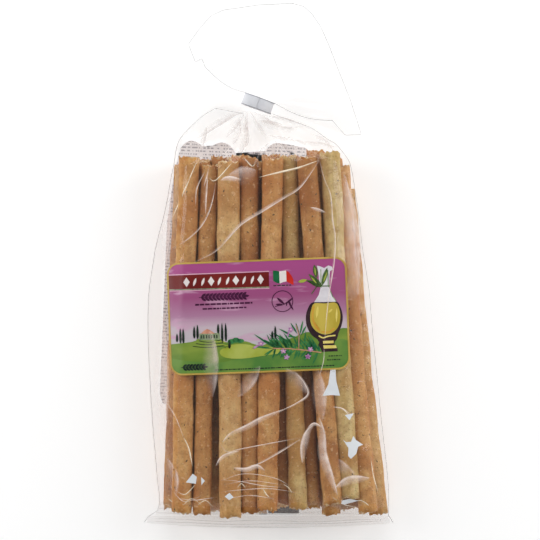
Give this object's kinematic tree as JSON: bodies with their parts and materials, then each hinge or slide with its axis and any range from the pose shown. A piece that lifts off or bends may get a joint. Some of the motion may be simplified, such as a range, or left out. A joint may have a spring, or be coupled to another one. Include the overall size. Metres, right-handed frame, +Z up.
{
  "type": "bag of breadsticks",
  "caption": "Clear film bag of breadsticks lying flat: long block of baked sticks, heat-sealed foot, taped neck with fanned mouth, printed front and back labels.",
  "frame": {"origin": "under the middle of the bag's outline, on the surface that it lies on", "axes": "+Y from the sealed foot towards the gathered mouth, +Z up out of the front label, +X to the right as the label is read"},
  "size_m": [0.1466, 0.3088, 0.0375],
  "materials": {
    "film": "clear thin film, glossy",
    "tape": "pale grey tape with a wire along each edge",
    "front_label": "printed label, satin",
    "back_label": "white label with fine print, satin",
    "date_label": "dark printed field, satin"
  },
  "bodies": {
    "root": {"bag": "film", "tape_band": "tape", "front_label": "front_label", "back_label": "back_label", "date_label": "date_label"}
  },
  "joints": []
}
